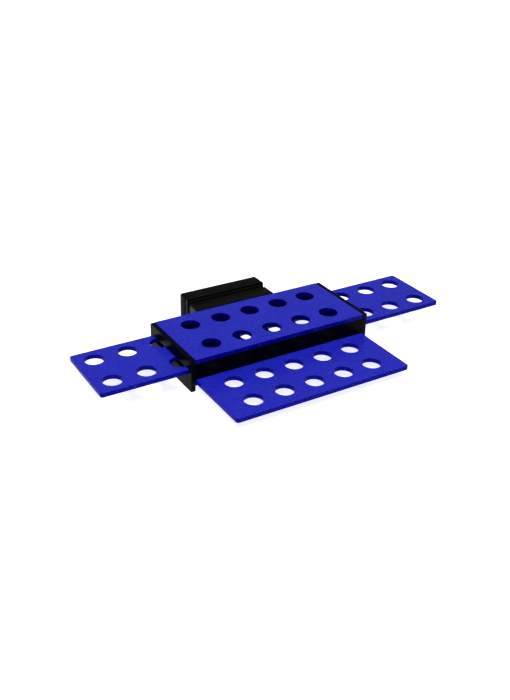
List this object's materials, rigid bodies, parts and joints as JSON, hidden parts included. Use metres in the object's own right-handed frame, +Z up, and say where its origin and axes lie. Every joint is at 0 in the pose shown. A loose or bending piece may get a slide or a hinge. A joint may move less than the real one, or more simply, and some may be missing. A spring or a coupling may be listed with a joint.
{
  "type": "test tube rack",
  "caption": "Low expanding rack of perforated sheet: deck with slide-out side trays, a slide-out front tray and a two-part magnet clamp on its back.",
  "frame": {"origin": "middle of the box without its trays and clamp, on the plane that it stands on", "axes": "+X to the rack's right along its length, +Y to its back where the magnet clamp is, +Z up through the tube holes"},
  "size_m": [0.2645, 0.1373, 0.0252],
  "materials": {
    "blue_sheet": "polished royal blue cast acrylic",
    "black_sheet": "polished black cast acrylic",
    "clamp_case": "fine satin black moulded plastic",
    "clamp_pad": "thin black felt",
    "magnet": "ground ferrite block",
    "screw": "plain countersunk screw"
  },
  "bodies": {
    "rack_body": {"top_deck": "blue_sheet", "floor_plate": "blue_sheet", "front_lower_runner": "blue_sheet", "front_upper_runner": "blue_sheet", "back_lower_runner": "blue_sheet", "back_upper_runner": "blue_sheet", "left_end_wall": "black_sheet", "right_end_wall": "black_sheet", "front_wall": "black_sheet", "back_wall": "black_sheet", "left_tray_guide": "black_sheet", "right_tray_guide": "black_sheet", "left_tray_rest": "black_sheet", "right_tray_rest": "black_sheet", "inner_clamp_case": "clamp_case", "inner_clamp_lid": "clamp_case", "inner_clamp_magnet": "magnet", "inner_clamp_pad": "clamp_pad", "case_screw_left": "screw", "case_screw_right": "screw"},
    "left_tray": {"left_side_tray": "blue_sheet", "left_tray_stop": "blue_sheet"},
    "right_tray": {"right_side_tray": "blue_sheet", "right_tray_stop": "blue_sheet"},
    "front_tray_body": {"front_tray": "blue_sheet", "front_tray_stop": "blue_sheet"},
    "outer_clamp": {"outer_clamp_case": "clamp_case", "outer_clamp_lid": "clamp_case", "outer_clamp_magnet": "magnet", "outer_clamp_pad": "clamp_pad"}
  },
  "joints": [
    {"name": "left_tray_slide", "type": "slide", "parent": "rack_body", "child": "left_tray", "axis": [-1, 0, 0], "range_m": [-0.0311, 0.0308]},
    {"name": "right_tray_slide", "type": "slide", "parent": "rack_body", "child": "right_tray", "axis": [1, 0, 0], "range_m": [-0.0408, 0.0211]},
    {"name": "front_tray_slide", "type": "slide", "parent": "rack_body", "child": "front_tray_body", "axis": [0, -1, 0], "range_m": [-0.0407, 0.0017]},
    {"name": "outer_clamp_pull", "type": "slide", "parent": "rack_body", "child": "outer_clamp", "axis": [0, 1, 0], "range_m": [0, 0.02]}
  ]
}
